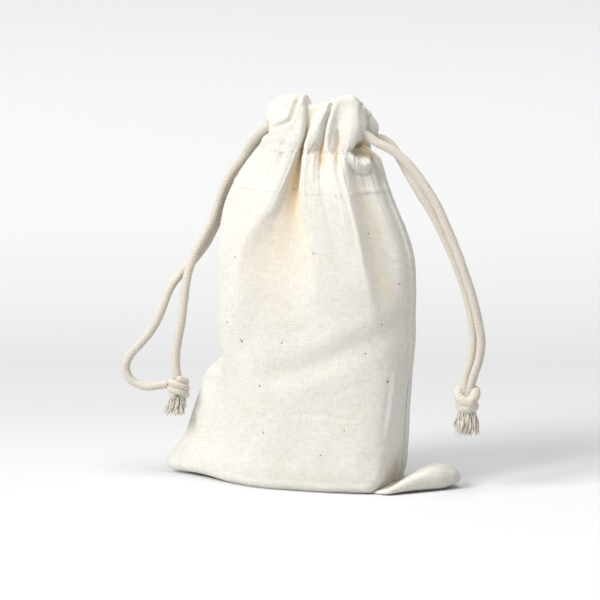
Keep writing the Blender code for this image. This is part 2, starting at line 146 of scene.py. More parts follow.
# Fold lines of the front from the waist up to the channel stitching: distance across the flat cloth, and
# the x and y of a point at each of the fold heights
FOLD_HEIGHTS = (70, 84, 96, 107, 117, 124, 131, STITCH_Z)
PANEL_FOLDS = [
    (14, [(-37.2, -12), (-37.6, -12), (-37, -11.5), (-35.4, -10.5), (-32.6, -9.5),
        (-29.2, -9), (-25.4, -8.4), (-19.8, -6.8)]),
    (27, [(-30, -19), (-28.8, -20), (-27, -19.8), (-24.3, -18.8), (-20.4, -17.2),
        (-17.6, -15.8), (-15.2, -14.2), (-12.8, -12.4)]),
    (38, [(-22, -21.6), (-22.2, -21.6), (-21, -21), (-17.9, -20), (-11.8, -18.6),
        (-8.6, -17.2), (-5.8, -15.6), (-2.9, -13.2)]),
    (46, [(-11.5, -22.2), (-11.8, -21), (-11.4, -19.2), (-9.6, -17), (-7.4, -14.8),
        (-6.1, -13), (-4.7, -11.4), (-2.6, -9.6)]),
    (53, [(-3, -22.4), (-2, -20.6), (-0.6, -17.8), (-1, -14.4), (-3, -11.6),
        (-3.8, -9.6), (-3.5, -8), (-1.9, -6.6)]),
    (58.5, [(2.2, -22.6), (4.4, -21.8), (5.4, -19.6), (3.6, -17), (0.5, -14.6),
        (-0.8, -12.6), (-0.8, -10.8), (-0.6, -9)]),
    (62, [(5.6, -22.8), (7.2, -22.6), (6.7, -21.8), (4.3, -20.4), (1, -18.6),
        (-0.4, -16.9), (-0.4, -15.2), (-0.1, -13.2)]),
    (69, [(11.5, -23), (12.5, -23), (12, -22.8), (10, -21.8), (6.6, -20.4),
        (4.9, -19), (4, -17.2), (3.6, -13.4)]),
    (77, [(18.5, -22.7), (19, -22.8), (18.2, -22.2), (15.8, -21.1), (12.6, -19.8),
        (10.6, -18.2), (8.8, -15), (6.9, -9.6)]),
    (84, [(24.5, -21.8), (24.2, -22.2), (22.6, -21.8), (20.4, -21), (18, -19.8),
        (16, -18.6), (13.5, -16.8), (10.1, -13.1)]),
    (90, [(29.5, -20.6), (28.4, -21.4), (26.4, -21.4), (23.8, -20.6), (21.2, -19.4),
        (19.2, -18.3), (16.8, -16.2), (13.9, -10.6)]),
    (97, [(34.4, -18.4), (31.8, -19.8), (29.2, -20.2), (26.6, -19.4), (24, -18.2),
        (21.8, -17.1), (19, -15.4), (16.8, -12.1)]),
    (101.5, [(37.6, -15.6), (34.2, -16.2), (30.6, -15.8), (27.6, -14.4), (24.7, -12.8),
        (22.4, -11.8), (20.1, -11.2), (18.8, -10.4)]),
    (107, [(39.6, -12.6), (37.6, -12.4), (34.4, -11.8), (31, -10.8), (27.6, -9.8),
        (25.2, -9), (23, -8.8), (21.4, -8.4)]),
    (115, [(41.4, -8), (41, -8.2), (39.3, -8), (35.8, -7.6), (31.8, -7),
        (29, -6.6), (26.6, -6.2), (24.4, -5.8)]),
]

# The same fold lines through the casing: distance across the cloth, height of the top, and points of x and
# y at the stitching, at two heights above it and at the top
CASING_HEIGHTS = (STITCH_Z, 144, 150)
CASING_FOLDS = [
    (0, 155, [(-17.6, -1.8), (-17.4, -1.4), (-17, -1.3), (-16.6, -1.8)]),
    (6, 155.6, [(-20.8, -3.8), (-20.8, -4), (-20, -4), (-18, -4)]),
    (14, 157.9, [(-19.8, -6.8), (-19.2, -6.8), (-18.4, -6.9), (-15.8, -5.2)]),
    (27, 159.6, [(-12.8, -12.4), (-12.2, -11.7), (-11.2, -10.8), (-9.4, -8.6)]),
    (38, 160, [(-2.9, -13.2), (-1.6, -12.5), (-1, -11.5), (-1.4, -9.2)]),
    (46, 158.6, [(-2.6, -9.6), (-1.2, -9), (-0.5, -8.4), (-0.3, -7.6)]),
    (53, 156.4, [(-1.9, -6.6), (-0.7, -6.8), (0.3, -7.8), (1.4, -7.8)]),
    (58.5, 156.8, [(-0.6, -9), (0.7, -8.8), (2.1, -8.8), (4.6, -8.6)]),
    (62, 157, [(-0.1, -13.2), (1.2, -12.2), (2.9, -11), (6.9, -10)]),
    (69, 157, [(3.6, -13.4), (5, -13.1), (6.4, -12.5), (9.3, -10.4)]),
    (77, 156, [(6.9, -9.6), (7.6, -9.2), (8.3, -8.8), (9.9, -8.2)]),
    (84, 159.2, [(10.1, -13.1), (10, -12.5), (10.7, -11.8), (12.2, -9.4)]),
    (90, 160.6, [(13.9, -10.6), (13.4, -9.4), (13.6, -9), (14.8, -8.8)]),
    (97, 160.4, [(16.8, -12.1), (19, -11.9), (20.2, -11.4), (19.6, -8.4)]),
    (101.5, 158.4, [(18.8, -10.4), (21.4, -10.6), (22.6, -10.2), (21.6, -7.8)]),
    (107, 157.6, [(21.4, -8.4), (22.5, -8.2), (22.8, -6.6), (21.4, -4.6)]),
    (115, 156, [(23.4, -5.8), (23.6, -5.4), (24.2, -5.2), (23.4, -4.6)]),
    (127, 155.4, [(22.6, -3.4), (22.6, -3.2), (23, -3.2), (22.2, -3)]),
]

# Creases that cross the folds: points of x and height, width, and depth, which is negative on a ridge
PANEL_CREASES = [
    ([(39, 69), (31.6, 64.6), (18, 57.4), (-0.4, 49.6), (-13.9, 46.9)], 4.4, 0.9),
    ([(0, 32.2), (11, 32.6), (24, 31.4)], 1.2, 0.15),
    ([(39, 49.3), (38.2, 36), (36.9, 22.9)], 0.8, -0.5),
    ([(-38, 46.2), (-44.6, 46.6)], 1.4, 1.1),
    ([(36.5, 95.3), (41, 93.6)], 1.1, 0.2),
    ([(7.4, 137.4), (8.4, 134)], 1.5, 0.9),
    ([(14.2, 139.7), (15.4, 135.6)], 0.9, 0.9),
    ([(17.8, 139.7), (18.6, 136.4)], 0.6, 0.5),
    ([(-9.4, 139.7), (-9.8, 134)], 1.4, 0.5),
    ([(35, 1), (38.4, 4.5), (39.6, 13)], 2.6, 2.3),
    ([(-16, 78), (-24, 58), (-28, 40)], 5, 0.35),
]
CASING_CREASES = [
    ([(-1.6, 163), (-4.2, 159), (-5.5, 153.7), (-6.4, 151.8), (-9.4, 150.2), (-12.9, 149)], 0.85, 1.15),
    ([(-8.2, 158), (-8, 154), (-9.6, 152.2)], 1.8, -0.4),
    ([(-9.2, 143.4), (-8.6, 141.4)], 1.6, 0.7),
    ([(13.6, 148), (14.2, 139.7)], 0.8, 0.9),
    ([(17.6, 142.5), (17.8, 139.7)], 0.6, 0.6),
    ([(4.2, 143.6), (5.2, 141.2)], 1.8, 0.7),
]

# Free legs of the cords, from inside the casing to the knot: points of x, y and z
LEFT_FRONT_LEG = [
    (-8, -5.1, 150), (-13.5, -5.2, 149.4), (-18, -4.6, 148), (-21.4, -2.6, 145.4), (-24.2, -0.6, 142.9),
    (-26.4, 0.6, 140.6), (-28.2, 1.8, 138.2), (-31.6, 3.4, 133.1), (-37, 4.8, 126.3), (-40.8, 5, 119),
    (-45.4, 3.8, 105.6), (-49, 2.4, 98.3), (-51.9, 1, 92), (-53.6, -0.4, 86.6), (-54.7, -1.8, 80.2),
    (-55.2, -3, 73.1), (-56, -3.8, 65.1), (-57.4, -4.2, 57), (-58.4, -4.2, 49.6), (-58.3, -4.2, 44.8),
    (-57.8, -4.2, 41.6), (-57.2, -4.2, 38.6),
]
LEFT_BACK_LEG = [
    (-8, 5.1, 150), (-13.5, 5.2, 149.4), (-18, 5.4, 148.2), (-21.6, 6.2, 146.2), (-24.8, 7.6, 143),
    (-28, 9, 138.8), (-32.4, 9.8, 131.7), (-37.2, 9.8, 123.2), (-41.6, 9.2, 113.6), (-45.1, 8.2, 103.7),
    (-48.8, 6.6, 95.9), (-53.5, 4.6, 89.2), (-58.5, 2, 83.3), (-61.8, -0.4, 78.3), (-63.9, -2.2, 72.3),
    (-66.1, -3.6, 65.9), (-69.4, -4.6, 59.7), (-73.8, -5.4, 54.3), (-78.1, -5.8, 49.2), (-79.8, -5.9, 44.2),
    (-78.3, -5.7, 39.8), (-74.1, -5.3, 37.2), (-69.5, -4.9, 36.6), (-65.6, -4.5, 37.4), (-61.2, -4.2, 38),
]
RIGHT_FRONT_LEG = [
    (17.5, -5.3, 147.6), (21.5, -5.3, 147.6), (25, -5.2, 146.2), (28.5, -5, 143.8), (32.4, -4.4, 142),
    (36.8, -3.6, 139.4), (41.4, -3, 135.4), (48.2, -2.4, 127), (53.8, -2, 118.4), (57.9, -1.8, 109.6),
    (61.7, -1.6, 101), (65.3, -1.4, 91.4), (68.6, -1, 81.4), (71, -0.6, 71.6), (72.2, -0.2, 63.4),
    (71.4, 0, 55.4), (69.2, 0, 48.6), (67.7, 0, 43.6), (67, 0.2, 40.4), (66.9, 0.2, 37.4),
]
RIGHT_BACK_LEG = [
    (17.5, 5.2, 144.2), (23, 5.2, 144), (28.5, 5.1, 143.4), (31.8, 5, 141.4), (35, 4.6, 137.4),
    (39, 4, 131), (44.2, 3.4, 122.9), (49.7, 3, 114.9), (54.6, 2.6, 106.4), (58.6, 2.4, 98.3),
    (62.3, 2.2, 89.8), (65.6, 1.8, 80.4), (67.8, 1.2, 71.4), (68.6, 0.8, 63.2), (67.7, 0.4, 54.6),
    (66, 0, 48.2), (65.4, 0, 43.6), (66, 0.2, 40.4), (66.3, 0.2, 37.4),
]

# Strands of the right knot round its own centre: two loops that cross in front, and a band under them
LOOP_KNOT = [
    [(0.9, 0.4, 5.2), (0.4, 1.4, 2.6), (-1.6, 1.9, 2.2), (-3.5, 0.6, 3), (-4.2, -1.3, 1.2),
     (-2.9, -2.7, -0.9), (-0.3, -3.2, -2.2), (2.4, -2.3, -3.4), (3.1, -0.2, -4), (1.6, 1.9, -3.8)],
    [(-0.9, 0.6, 5.2), (-0.2, 2.2, 2.2), (1.7, 2.1, 2), (3.6, 0.8, 2.8), (4.3, -1.1, 1), (3.2, -2.6, -1.2),
     (0.9, -2.5, -2.8), (-1.8, -2.5, -3.9), (-3.2, -0.6, -4.3), (-1.9, 1.7, -4)],
    [(-2.4, 1.8, -4.2), (-3.2, 0, -4.9), (-2.2, -2.2, -5.3), (0.4, -3, -5.3), (2.6, -1.8, -5),
     (3.2, 0.2, -4.9), (2, 2.2, -4.8), (-0.4, 2.9, -4.6)],
]

# Seed flecks on the front: x, height, length, and tilt from level in degrees
FLECKS = [
    (-4.9, 123.5, 1.5, -12), (-24.3, 60.9, 1.5, -55), (-16, 43.2, 0.8, 70), (36.8, 46.6, 1, 20),
    (28, 107.2, 0.7, 0), (40, 86, 0.7, 30), (35, 70.8, 0.7, -60), (28.6, 58.4, 0.6, 0),
    (10.6, 15.9, 0.6, 40), (-13.9, 23.8, 0.6, -50), (-31.2, 67.9, 0.6, 80), (7.3, 99.3, 0.5, 0),
    (-6, 61.5, 0.5, 10), (20.5, 27, 0.5, 60), (-27, 96, 0.5, -20),
]


# ---- small helpers

def ease(value, low, high):
    """0 below low and 1 above high, with an eased rise between them."""
    t = np.clip((value - low) / (high - low), 0.0, 1.0)
    return t * t * (3 - 2 * t)


def bump(distance, width):
    """1 at no distance, fading to nothing at about twice the width."""
    return np.exp(-((distance / width) ** 2))


def signed_power(value, power):
    """The value's size to a power, with the value's own sign."""
    return np.sign(value) * np.abs(value) ** power


def spline(knots, values, at):
    """Values at the given places on a smooth curve through the knots."""
    knots = np.asarray(knots, float)
    values = np.asarray(values, float)
    flat = values.reshape(len(knots), -1)
    slopes = np.gradient(flat, knots, axis=0)
    at = np.clip(np.asarray(at, float), knots[0], knots[-1])
    i = np.clip(np.searchsorted(knots, at, side="right") - 1, 0, len(knots) - 2)
    width = (knots[i + 1] - knots[i])[:, None]
    t = (at - knots[i])[:, None] / width
    found = (
        (2 * t**3 - 3 * t**2 + 1) * flat[i]
        + (t**3 - 2 * t**2 + t) * width * slopes[i]
        + (3 * t**2 - 2 * t**3) * flat[i + 1]
        + (t**3 - t**2) * width * slopes[i + 1]
    )
    return found.reshape((len(at),) + values.shape[1:])


def along(points):
    """Distance along a line of points, starting at 0."""
    steps = np.linalg.norm(np.diff(points, axis=0), axis=1)
    return np.concatenate([[0.0], np.cumsum(steps)])


def centreline(route):
    """Evenly spaced points on a smooth curve through the route."""
    route = np.array(route, float)
    fine = spline(along(route), route, np.linspace(0, along(route)[-1], 40 * len(route)))
    lengths = along(fine)
    places = np.linspace(0, lengths[-1], max(2, int(round(lengths[-1] / ALONG)) + 1))
    return np.stack([np.interp(places, lengths, fine[:, k]) for k in range(3)], axis=1)


def noise(a, b, cell, seed):
    """Smooth noise between -1 and 1 over two coordinates, with features about one cell across."""
    table = np.random.RandomState(seed).uniform(-1, 1, (257, 257))
    x = a / cell + 100
    y = b / cell + 100
    i = np.floor(x).astype(int)
    j = np.floor(y).astype(int)
    s = ease(x - i, 0, 1)
    t = ease(y - j, 0, 1)
    i = i % 256
    j = j % 256
    low = table[i, j] * (1 - s) + table[i + 1, j] * s
    high = table[i, j + 1] * (1 - s) + table[i + 1, j + 1] * s
    return low * (1 - t) + high * t


def distance_to_line(x, z, points):
    """Distance from every point to a line of straight stretches, and how far along it that is, 0 to 1."""
    best = np.full(x.shape, 1e9)
    part = np.zeros(x.shape)
    count = len(points) - 1
    for k, ((ax, az), (bx, bz)) in enumerate(zip(points, points[1:])):
        dx = bx - ax
        dz = bz - az
        t = np.clip(((x - ax) * dx + (z - az) * dz) / (dx * dx + dz * dz), 0, 1)
        far = np.hypot(x - ax - t * dx, z - az - t * dz)
        closer = far < best
        best = np.where(closer, far, best)
        part = np.where(closer, (k + t) / count, part)
    return best, part


def link(name, data):
    """A new object in the scene with the given mesh, lamp or camera."""
    made = bpy.data.objects.new(name, data)
    bpy.context.scene.collection.objects.link(made)
    return made


def grid_mesh(name, grids, look, coordinates=None, painted_shades=None):
    """One mesh of several grids of points, with a UV map, both in millimetres, and painted shade per point.
    """
    coordinates = coordinates or [cloth_coordinates(grid) for grid in grids]
    painted_shades = painted_shades or [np.zeros(grid.shape[:2]) for grid in grids]
    faces = []
    start = 0
    for grid in grids:
        index = start + np.arange(grid[..., 0].size).reshape(grid.shape[:2])
        quads = np.stack([index[:-1, :-1], index[:-1, 1:], index[1:, 1:], index[1:, :-1]], axis=-1)
        faces.append(quads.reshape(-1, 4))
        start += index.size
    faces = np.concatenate(faces)
    verts = np.concatenate([grid.reshape(-1, 3) for grid in grids])
    coords = np.concatenate([pairs.reshape(-1, 2) for pairs in coordinates])
    shades = np.concatenate([tone.reshape(-1) for tone in painted_shades])
    mesh = bpy.data.meshes.new(name)
    mesh.vertices.add(len(verts))
    mesh.vertices.foreach_set("co", (verts * MM).ravel())
    mesh.loops.add(faces.size)
    mesh.loops.foreach_set("vertex_index", faces.ravel())
    mesh.polygons.add(len(faces))
    mesh.polygons.foreach_set("loop_start", np.arange(0, faces.size, 4))
    mesh.update(calc_edges=True)
    mesh.validate()
    layer = mesh.uv_layers.new(name="Cloth")
    layer.data.foreach_set("uv", coords[faces.ravel()].ravel())
    tone = mesh.attributes.new("tone", "FLOAT", "POINT")
    tone.data.foreach_set("value", shades.astype(np.float32))
    mesh.polygons.foreach_set("use_smooth", np.ones(len(faces), bool))
    mesh.materials.append(look)
    return link(name, mesh)


def cloth_coordinates(grid):
    """Distances across and along the cloth, in millimetres."""
    across = np.zeros(grid.shape[:2])
    up = np.zeros(grid.shape[:2])
    across[:, 1:] = np.cumsum(np.linalg.norm(np.diff(grid, axis=1), axis=2), axis=1)
    across -= across[:, grid.shape[1] // 2][:, None]
    up[1:] = np.cumsum(np.linalg.norm(np.diff(grid, axis=0), axis=2), axis=0)
    return np.stack([across, up], axis=-1)


def grid_normals(grid):
    normal = np.cross(np.gradient(grid, axis=1), np.gradient(grid, axis=0))
    return normal / np.maximum(np.linalg.norm(normal, axis=2, keepdims=True), 1e-9)


def settle(piece, node=None, body="pouch"):
    """Puts a piece on its body and, where it has one, hides its CAD node."""
    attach(piece, body)
    if node:
        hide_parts(node)


# ---- materials

CREAM = (0.815, 0.798, 0.748)
CREAM_LIGHT = (0.845, 0.834, 0.798)
CREAM_WARM = (0.805, 0.780, 0.716)
# Painted shade: the warm brown the cloth is mixed towards in deep folds and hollows
FOLD_SHADE_BROWN = (0.900, 0.675, 0.385)
CORD_LIGHT = (0.675, 0.630, 0.550)
CORD_GREY = (0.690, 0.650, 0.575)
# Painted shade on the cord where its strands dive under each other
CORD_SHADE = (0.46, 0.40, 0.31)
SEED_BROWN = (0.09, 0.055, 0.03)
SEED_LIGHT = (0.34, 0.24, 0.14)
WHITE = (1.0, 1.0, 1.0)
YARN_PITCH = 0.46


class Look:
    """A node material while it is built: most methods add a node and return its output."""

    def __init__(self, name):
        self.made = bpy.data.materials.new(name)
        self.made.use_nodes = True
        self.nodes = self.made.node_tree.nodes
        self.shader = self.nodes["Principled BSDF"]

    def fill(self, socket, value):
        """Sets a socket to a number or a colour, or links another node's output to it."""
        if isinstance(value, (int, float)):
            socket.default_value = value
        elif isinstance(value, tuple):
            socket.default_value = (*value, 1)
        else:
            self.made.node_tree.links.new(value, socket)

    def set(self, name, value):
        self.fill(self.shader.inputs[name], value)

    def on_cloth(self):
        node = self.nodes.new("ShaderNodeUVMap")
        node.uv_map = "Cloth"
        return node.outputs[0]

    def on_object(self):
        return self.nodes.new("ShaderNodeTexCoord").outputs["Object"]

    # The painted shade per point, which darkens colours in folds, hollows and braid dips
    def tone(self):
        node = self.nodes.new("ShaderNodeAttribute")
        node.attribute_name = "tone"
        return node.outputs["Fac"]

    def split(self, place):
        node = self.nodes.new("ShaderNodeSeparateXYZ")
        self.fill(node.inputs[0], place)
        return node.outputs

    def math(self, operation, *values):
        node = self.nodes.new("ShaderNodeMath")
        node.operation = operation
        for socket, value in zip(node.inputs, values):
            self.fill(socket, value)
        return node.outputs[0]

    def noise(self, place, scale, detail=2.0, stretch=(1.0, 1.0, 1.0)):
        mapping = self.nodes.new("ShaderNodeMapping")
        mapping.inputs["Scale"].default_value = stretch
        self.fill(mapping.inputs["Vector"], place)
        node = self.nodes.new("ShaderNodeTexNoise")
        node.inputs["Scale"].default_value = scale
        node.inputs["Detail"].default_value = detail
        self.fill(node.inputs["Vector"], mapping.outputs[0])
        return node.outputs[0]

    def ramp(self, value, *stops):
        node = self.nodes.new("ShaderNodeValToRGB")
        elements = node.color_ramp.elements
        for element, (place, color) in zip(elements, (stops[0], stops[-1])):
            element.position = place
            element.color = (*color, 1)
        for place, color in stops[1:-1]:
            elements.new(place).color = (*color, 1)
        self.fill(node.inputs[0], value)
        return node.outputs[0]

    def mix(self, share, first, second, blend="MIX"):
        node = self.nodes.new("ShaderNodeMix")
        node.data_type = "RGBA"
        node.blend_type = blend
        for slot, value in zip((0, 6, 7), (share, first, second)):
            self.fill(node.inputs[slot], value)
        return node.outputs[2]

    def bump(self, height, strength, distance):
        node = self.nodes.new("ShaderNodeBump")
        node.inputs["Strength"].default_value = strength
        node.inputs["Distance"].default_value = distance
        self.fill(node.inputs["Height"], height)
        self.set("Normal", node.outputs[0])


def cotton_cloth():
    """Unbleached plain weave: uneven yarns both ways, thick places in them, and painted shade between yarns
    and in deep folds.
    """
    look = Look("cotton_cloth")
    place = look.on_cloth()
    sides = look.split(place)
    shift = look.math("MULTIPLY", look.noise(place, 0.35), 1.6)
    yarns = []
    for side in sides[:2]:
        turn = look.math("MULTIPLY", look.math("ADD", side, shift), math.pi / YARN_PITCH)
        yarns.append(look.math("ABSOLUTE", look.math("SINE", turn)))
    weave = look.math("MULTIPLY", *yarns)
    warp_slubs = look.noise(place, 1.0, 3.0, (2.0, 0.18, 1.0))
    weft_slubs = look.noise(place, 1.0, 3.0, (0.17, 1.9, 1.0))
    slubs = look.math("ADD", warp_slubs, weft_slubs)
    patches = look.noise(place, 0.045, 4.0)
    mottle = look.noise(place, 0.5, 4.0)
    color = look.ramp(patches, (0.35, CREAM_WARM), (0.5, CREAM), (0.68, CREAM_LIGHT))
    streak = look.ramp(slubs, (0.82, (0.80, 0.79, 0.76)), (0.98, (0.96, 0.955, 0.94)), (1.16, WHITE))
    color = look.mix(0.42, color, streak, "MULTIPLY")
    dapple = look.ramp(mottle, (0.35, (0.93, 0.925, 0.91)), (0.6, WHITE))
    color = look.mix(0.6, color, dapple, "MULTIPLY")
    # Painted shade between the yarns, darkest where the weave dips
    gaps = look.ramp(weave, (0.0, (0.80, 0.77, 0.70)), (0.45, WHITE))
    color = look.mix(0.62, color, gaps, "MULTIPLY")
    # Painted shade: the colour is mixed towards warm brown by the per-point painted shade
    look.set("Base Color", look.mix(look.tone(), color, FOLD_SHADE_BROWN))
    look.set("Roughness", look.ramp(slubs, (0.8, (0.86, 0.86, 0.86)), (1.2, (0.96, 0.96, 0.96))))
    look.set("Specular IOR Level", 0.25)
    look.set("Sheen Weight", 0.25)
    look.set("Sheen Roughness", 0.6)
    look.bump(look.math("ADD", look.math("MULTIPLY", weave, 0.5), slubs), 0.5, 0.0004)
    return look.made


def cotton_cord():
    """Braided cotton: painted shade darkens each strand where it dives under the next, leaving its crown
    lighter.
    """
    look = Look("cotton_cord")
    place = look.on_cloth()
    fibres = look.noise(place, 2.2, 3.0, (1.0, 0.4, 1.0))
    body = look.ramp(look.noise(place, 0.08, 3.0), (0.35, CORD_GREY), (0.65, CORD_LIGHT))
    speck = look.ramp(fibres, (0.35, (0.88, 0.87, 0.84)), (0.62, WHITE))
    # Painted shade: the cord is mixed towards dark brown where strands dive under each other
    look.set("Base Color", look.mix(0.6, look.mix(look.tone(), body, CORD_SHADE), speck, "MULTIPLY"))
    look.set("Roughness", 0.88)
    look.set("Specular IOR Level", 0.25)
    look.set("Sheen Weight", 0.3)
    look.bump(fibres, 0.3, 0.0002)
    return look.made


def thread_material():
    """Sewing cotton, with a little painted shade in the grooves of its twist."""
    look = Look("sewing_thread")
    twist = look.noise(look.on_object(), 3000.0)
    # Painted shade: darker where the twist's bump is low
    look.set("Base Color", look.ramp(twist, (0.3, (0.74, 0.70, 0.61)), (0.7, (0.86, 0.83, 0.76))))
    look.set("Roughness", 0.7)
    look.bump(twist, 0.4, 0.0001)
    return look.made


def seed_material():
    """Brown flecks of seed husk."""
    look = Look("seed_husk")
    grain = look.noise(look.on_object(), 1500.0)
    look.set("Base Color", look.ramp(grain, (0.35, SEED_BROWN), (0.7, SEED_LIGHT)))
    look.set("Roughness", 0.8)
    return look.made


def herb_material():
    """Dried leaves and chips in browns and dull greens."""
    look = Look("dried_herbs")
    place = look.on_object()
    leaf = look.noise(place, 420.0, 4.0, (1.0, 1.0, 2.2))
    chips = look.noise(place, 900.0)
    color = look.ramp(leaf, (0.3, (0.10, 0.11, 0.04)), (0.5, (0.27, 0.24, 0.11)), (0.7, (0.47, 0.38, 0.20)))
    look.set("Base Color", color)
    look.set("Roughness", 0.95)
    look.bump(look.math("ADD", leaf, chips), 0.9, 0.0015)
    return look.made


def stage_material():
    """A pale floor with painted light and shade: greyest about 0.3 m behind the pouch, lighter nearer and
    further back.
    """
    look = Look("studio_sweep")
    behind = look.math("ADD", look.split(look.on_object())[1], 0.2)
    share = look.math("MULTIPLY", behind, 0.625)
    # Painted light and shade on the floor, in grey values by distance behind the pouch
    greys = (
        (0.04, 0.73), (0.16, 0.68), (0.22, 0.62), (0.29, 0.595),
        (0.39, 0.67), (0.54, 0.75), (0.69, 0.78), (0.81, 0.80),
    )
    look.set("Base Color", look.ramp(share, *[(t, (v, v, 1.004 * v)) for t, v in greys]))
    look.set("Roughness", 0.8)
    look.set("Specular IOR Level", 0.1)
    return look.made


# ---- camera, stage and light

def aim(name, data, place, target):
    """Puts a camera or a lamp at a place, turned towards a target."""
    made = link(name, data)
    made.location = place
    made.rotation_mode = "QUATERNION"
    made.rotation_quaternion = (Vector(target) - Vector(place)).to_track_quat("-Z", "Y")
    return made


def add_camera():
    azimuth = math.radians(AZIMUTH)
    elevation = math.radians(ELEVATION)
    level = math.cos(elevation)
    back = Vector((math.sin(azimuth) * level, -math.cos(azimuth) * level, math.sin(elevation)))
    data = bpy.data.cameras.new("camera")
    data.lens = LENS
    data.sensor_width = SENSOR
    data.clip_end = 50
    bpy.context.scene.camera = aim("camera", data, AIM + back * (FRAME_WIDTH * LENS / SENSOR), AIM)


def area_light(name, place, target, width, power, color):
    """A square lamp."""
    data = bpy.data.lights.new(name, "AREA")
    data.size = width
    data.energy = power
    data.color = color
    aim(name, data, place, target)


def add_stage():
    """A pale sweep: floor, curve and wall in one sheet, the wall far enough off to walk round the pouch."""
    reach = 7.0
    floor_end = 3.4
    bend = 0.8
    wall_top = 5.0
    profile = [(-reach, 0.0), (floor_end, 0.0)]
    for k in range(1, 17):
        turn = math.pi / 2 * k / 16
        profile.append((floor_end + bend * math.sin(turn), bend * (1 - math.cos(turn))))
    profile.append((floor_end + bend, wall_top))
    verts = [(x, y, z) for x in (-reach, reach) for y, z in profile]
    count = len(profile)
    faces = [(i, i + 1, count + i + 1, count + i) for i in range(count - 1)]
    mesh = bpy.data.meshes.new("studio_sweep")
    mesh.from_pydata(verts, [], faces)
    mesh.shade_smooth()
    mesh.materials.append(stage_material())
    sweep = link("studio_sweep", mesh)
    sweep.rotation_euler.z = math.radians(AZIMUTH)


def add_lights():
    bpy.context.scene.view_settings.view_transform = "Standard"
    world = bpy.data.worlds.new("studio")
    world.use_nodes = True
    sky = world.node_tree.nodes["Background"]
    sky.inputs["Color"].default_value = (0.94, 0.96, 1.0, 1)
    sky.inputs["Strength"].default_value = 0.28
    bpy.context.scene.world = world
    area_light("key", (-2.60, -3.28, 3.40), (0, 0, 0.07), 2.2, 241.0, (1.0, 0.99, 0.975))
    area_light("top", (0.45, -0.42, 3.70), (0, 0, 0.1), 2.4, 92.0, WHITE)


# ---- cords

def rings(points, turn, reach):
    """Circles of points round a line, at a reach from it, that don't twist along it."""
    tangent = np.gradient(points, axis=0)
    tangent /= np.linalg.norm(tangent, axis=1, keepdims=True)
    side = np.zeros_like(points)
    first = np.cross(tangent[0], (0.0, 1.0, 0.2))
    side[0] = first / np.linalg.norm(first)
    for k in range(1, len(points)):
        kept = side[k - 1] - tangent[k] * (side[k - 1] @ tangent[k])
        side[k] = kept / np.linalg.norm(kept)
    other = np.cross(tangent, side)
    ring = np.cos(turn)[None, :, None] * side[:, None] + np.sin(turn)[None, :, None] * other[:, None]
    return points[:, None] + reach[..., None] * ring


def braid_height(turn, distance):
    """Height of a round braid's surface, 0 to 1: strands of two slants that pass over two and under two."""
    round_it = BRAID_STRANDS * turn / (2 * math.pi)
    a = round_it + distance / BRAID_LAY
    b = round_it - distance / BRAID_LAY
    over = (np.floor(a) + np.floor(b)) % 4 < 2
    across = np.where(over, a % 1.0, b % 1.0)
    crown = np.sqrt(np.clip(1 - (2 * across - 1) ** 2, 0, 1))
    plies = 0.5 + 0.5 * np.abs(np.sin(2 * math.pi * across))
    return 0.75 * crown + 0.25 * plies * crown


def braided_grid(points, radius):
    """A braided tube along the points with rounded ends: its grid, cloth coordinates and shade."""
    distance = along(points)
    turn = np.linspace(0, 2 * math.pi, AROUND + 1)
    height = braid_height(turn[None, :], distance[:, None])
    ends = np.minimum(distance, distance[-1] - distance)
    closing = np.sqrt(np.clip(1 - (1 - np.clip(ends / radius, 0, 1)) ** 2, 0.0004, 1))
    turns, places = np.meshgrid(turn, distance)
    wander = 1 + 0.03 * noise(places, 2.0 * np.sin(turns), 4.0, 4)
    reach = (radius - BRAID_RELIEF * 0.7 + BRAID_RELIEF * height) * closing[:, None] * wander
    coordinates = np.stack([turns * radius, places], axis=-1)
    return rings(points, turn, reach), coordinates, np.clip(1.0 - 1.25 * height, 0, 1)


def braided(name, lines, radius, look):
    """One mesh of braided tubes, one along each line of points."""
    grids, coordinates, painted_shades = zip(*[braided_grid(points, radius) for points in lines])
    return grid_mesh(name, grids, look, coordinates, painted_shades)


def braided_cord(name, points, look):
    made = braided(name, [points], CORD_R, look)
    weld(made)
    return made


def weld(made):
    """Joins points that lie on each other."""
    step = made.modifiers.new("weld", "WELD")
    step.merge_threshold = 0.00002
    graph = bpy.context.evaluated_depsgraph_get()
    welded = made.evaluated_get(graph)
    mesh = bpy.data.meshes.new_from_object(welded, preserve_all_data_layers=True, depsgraph=graph)
    old = made.data
    made.modifiers.clear()
    made.data = mesh
    mesh.name = made.name
    bpy.data.meshes.remove(old)


def plain_tubes(name, lines, radius, look, sides=6):
    """Many thin round tubes in one mesh, each tapering at its ends."""
    turn = np.linspace(0, 2 * math.pi, sides + 1)
    grids = []
    for points in lines:
        part = np.clip(np.linspace(0, 1, len(points)), 0.02, 0.98)
        thin = radius * np.clip(1.3 * np.sin(math.pi * part) ** 0.4, 0.25, 1)
        grids.append(rings(points, turn, np.repeat(thin[:, None], len(turn), axis=1)))
    made = grid_mesh(name, grids, look)
    weld(made)
    return made


def wound_knot():
    """The left knot's strands: one wound three times round, and a short core inside it."""
    wraps = []
    for k in range(37):
        turn = 2 * math.pi * k / 12
        reach = 3.0 + 0.5 * math.sin(math.pi * k / 36)
        tilt = 0.9 * math.cos(turn + 0.6)
        wraps.append((reach * math.sin(turn), -reach * math.cos(turn), 4.0 - 8.6 * k / 36 + tilt))
    core = [(0.6, 0.2, 5.0), (0.8, 0.2, 2.0), (-0.6, -0.2, -2.0), (0.0, 0.0, -5.6)]
    return [wraps, core]


def knot(name, look, centre, strands, radius, size):
    """A knot of braided strands round a centre."""
    lines = [centreline(np.array(strand) * size) + centre for strand in strands]
    return braided(name, lines, radius, look)


